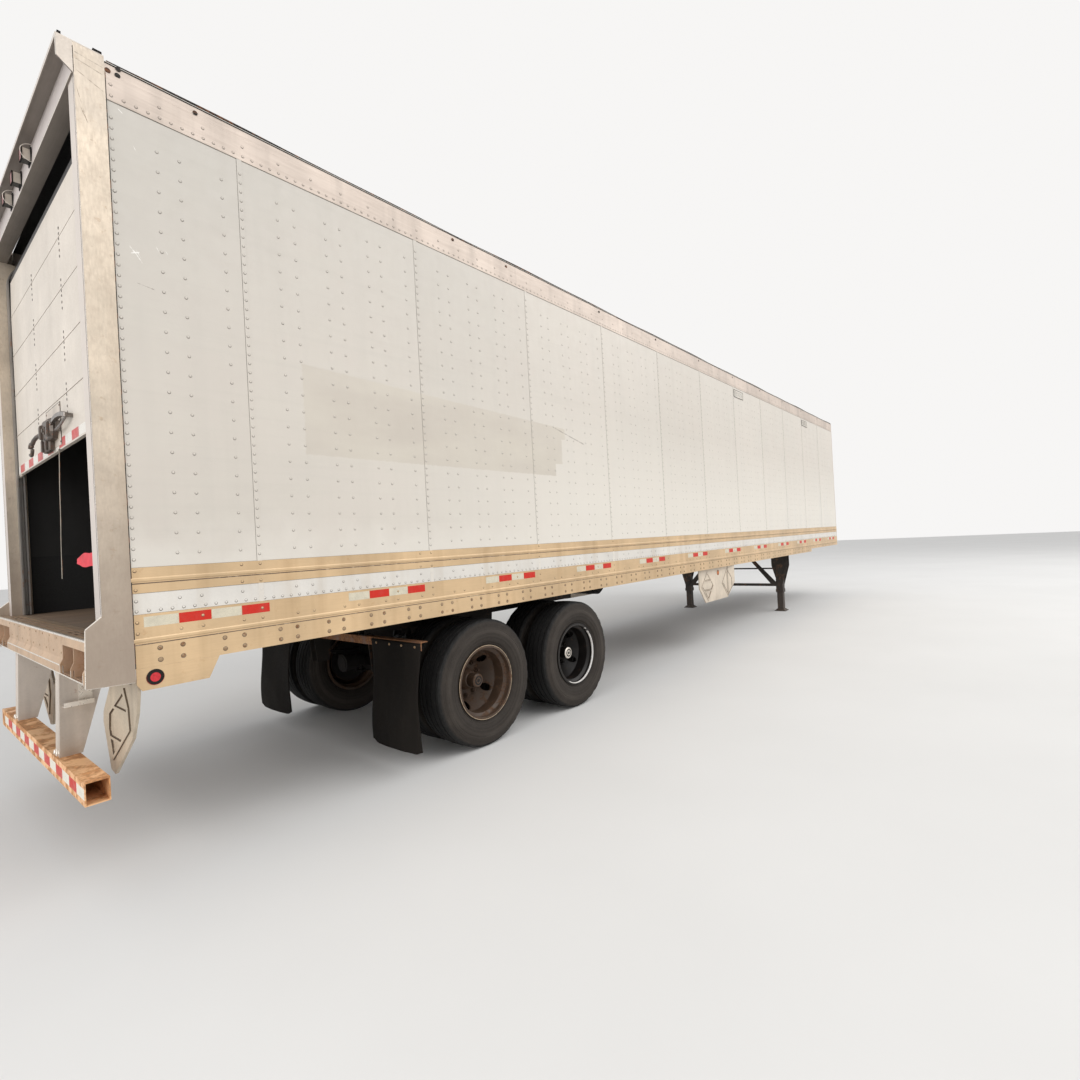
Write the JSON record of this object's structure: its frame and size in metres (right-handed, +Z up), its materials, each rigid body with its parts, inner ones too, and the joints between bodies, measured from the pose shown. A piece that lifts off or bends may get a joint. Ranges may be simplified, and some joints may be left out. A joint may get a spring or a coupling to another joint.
{
  "type": "semi trailer",
  "caption": "Dry van semi trailer with a part-open roll-up rear door, a tandem of paired wheels that spin, fixed landing legs, a kingpin coupler and a hollow load space.",
  "frame": {"origin": "middle of the overall length and width, on the ground under the wheels and landing feet", "axes": "+X towards the nose where the tractor couples, +Y to the left (road) side, +Z up"},
  "size_m": [14.69, 2.591, 4.126],
  "materials": {
    "wall_sheet": "satin",
    "roof_sheet": "satin",
    "post_metal": "brushed",
    "rail_metal": "satin",
    "floor_wood": "worn",
    "frame_steel": "matte",
    "black_liner": "matte",
    "galvanised": "dull",
    "red_lens": "gloss",
    "door_white": "satin",
    "strap_web": "woven",
    "fairing_plastic": "matte",
    "kingpin_steel": "machined",
    "black_parts": "matte",
    "gear_paint": "matte",
    "guard_paint": "rusty",
    "rusty_steel": "rusty",
    "flap_rubber": "matte",
    "red_cloth": "woven",
    "tyre": "worn",
    "rim_rust": "rusty",
    "rim_dark": "matte"
  },
  "bodies": {
    "trailer": {"air_tank": "black_parts", "axles": "black_parts", "bogie_frame": "frame_steel", "brake_chambers": "black_parts", "coupler_plate": "frame_steel", "crossmembers": "frame_steel", "door_balance_shaft": "galvanised", "door_latch": "galvanised", "door_panels": "door_white", "door_tracks": "galvanised", "equalizers": "black_parts", "floor": "floor_wood", "front_corner_posts": "post_metal", "front_wall": "wall_sheet", "guard_beam": "guard_paint", "guard_brackets": "galvanised", "header_clips": "black_parts", "kingpin": "kingpin_steel", "lamp_brackets": "post_metal", "landing_gear_braces": "gear_paint", "landing_gear_crank": "gear_paint", "landing_gear_housings": "gear_paint", "landing_gear_legs": "gear_paint", "leaf_springs": "black_parts", "lower_side_rails": "rail_metal", "mid_fairings": "fairing_plastic", "mud_flap_brackets": "rusty_steel", "mud_flaps": "flap_rubber", "nose_box": "black_parts", "pull_strap": "strap_web", "radius_rods": "black_parts", "rear_aero_panels": "fairing_plastic", "rear_header": "post_metal", "rear_lamps": "red_lens", "rear_posts": "post_metal", "rear_sill": "galvanised", "red_tag": "red_cloth", "roof": "roof_sheet", "roof_bows": "galvanised", "rub_rails": "rail_metal", "scuff_liners": "black_liner", "side_lamps": "red_lens", "side_wall_left": "wall_sheet", "side_wall_right": "wall_sheet", "slide_rails": "frame_steel", "spring_clamps": "black_parts", "top_rails": "rail_metal", "vents": "rail_metal"},
    "wheels_rear_right": {"tyres_rear_right": "tyre", "wheel_rear_right": "rim_rust"},
    "wheels_rear_left": {"tyres_rear_left": "tyre", "wheel_rear_left": "rim_dark"},
    "wheels_front_right": {"tyres_front_right": "tyre", "wheel_front_right": "rim_dark"},
    "wheels_front_left": {"tyres_front_left": "tyre", "wheel_front_left": "rim_dark"}
  },
  "joints": [
    {"name": "wheels_rear_right_spin", "type": "hinge", "parent": "trailer", "child": "wheels_rear_right", "pos_m": [-4.747, -0.971, 0.513], "axis": [0, 1, 0], "continuous": true},
    {"name": "wheels_rear_left_spin", "type": "hinge", "parent": "trailer", "child": "wheels_rear_left", "pos_m": [-4.747, 0.971, 0.513], "axis": [0, 1, 0], "continuous": true},
    {"name": "wheels_front_right_spin", "type": "hinge", "parent": "trailer", "child": "wheels_front_right", "pos_m": [-3.506, -0.971, 0.513], "axis": [0, 1, 0], "continuous": true},
    {"name": "wheels_front_left_spin", "type": "hinge", "parent": "trailer", "child": "wheels_front_left", "pos_m": [-3.506, 0.971, 0.513], "axis": [0, 1, 0], "continuous": true}
  ]
}
